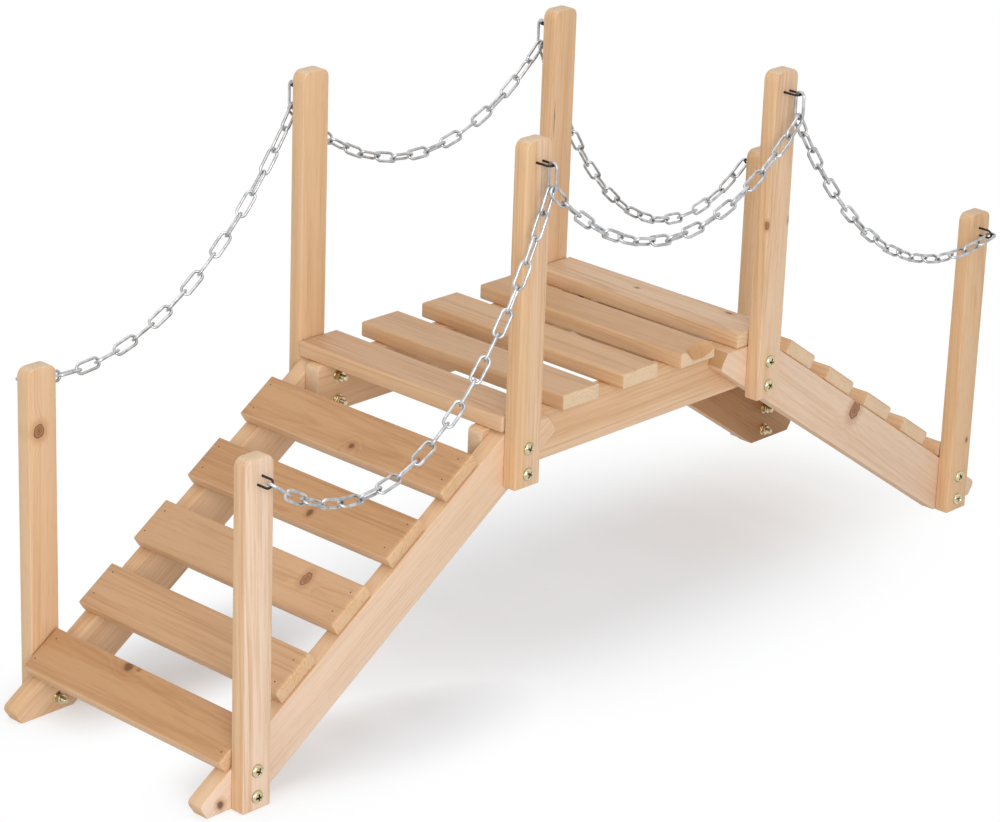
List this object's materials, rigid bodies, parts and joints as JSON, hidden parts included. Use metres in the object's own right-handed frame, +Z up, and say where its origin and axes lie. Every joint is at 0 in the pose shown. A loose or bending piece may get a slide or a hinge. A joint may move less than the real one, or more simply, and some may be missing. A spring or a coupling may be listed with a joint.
{
  "type": "wooden garden bridge",
  "caption": "Small wooden garden bridge with two tread ramps up to a level plank deck, bolted posts along both sides and a slack chain rail hung between the posts.",
  "frame": {"origin": "on the ground under the middle of the deck", "axes": "+X along the bridge, +Y from the front side to the back side, +Z up"},
  "size_m": [1.5396, 0.4842, 0.7552],
  "materials": {
    "fir": "bare, sanded",
    "staple_wire": "black, satin",
    "chain_zinc": "bright zinc"
  },
  "bodies": {
    "root": {"front_left_end_post": "fir", "front_left_deck_post": "fir", "front_right_deck_post": "fir", "front_right_end_post": "fir", "back_left_end_post": "fir", "back_left_deck_post": "fir", "back_right_deck_post": "fir", "back_right_end_post": "fir", "front_left_stringer": "fir", "front_right_stringer": "fir", "back_left_stringer": "fir", "back_right_stringer": "fir", "front_deck_beam": "fir", "back_deck_beam": "fir", "left_tread_1": "fir", "left_tread_2": "fir", "left_tread_3": "fir", "left_tread_4": "fir", "left_tread_5": "fir", "deck_plank_1": "fir", "deck_plank_2": "fir", "deck_plank_3": "fir", "deck_plank_4": "fir", "deck_plank_5": "fir", "right_tread_1": "fir", "right_tread_2": "fir", "right_tread_3": "fir", "right_tread_4": "fir", "right_tread_5": "fir", "front_left_end_staple": "staple_wire", "front_left_deck_staple": "staple_wire", "front_right_deck_staple": "staple_wire", "front_right_end_staple": "staple_wire", "back_left_end_staple": "staple_wire", "back_left_deck_staple": "staple_wire", "back_right_deck_staple": "staple_wire", "back_right_end_staple": "staple_wire", "front_chain_left": "chain_zinc", "front_chain_deck": "chain_zinc", "front_chain_right": "chain_zinc", "back_chain_left": "chain_zinc", "back_chain_deck": "chain_zinc", "back_chain_right": "chain_zinc"}
  },
  "joints": []
}
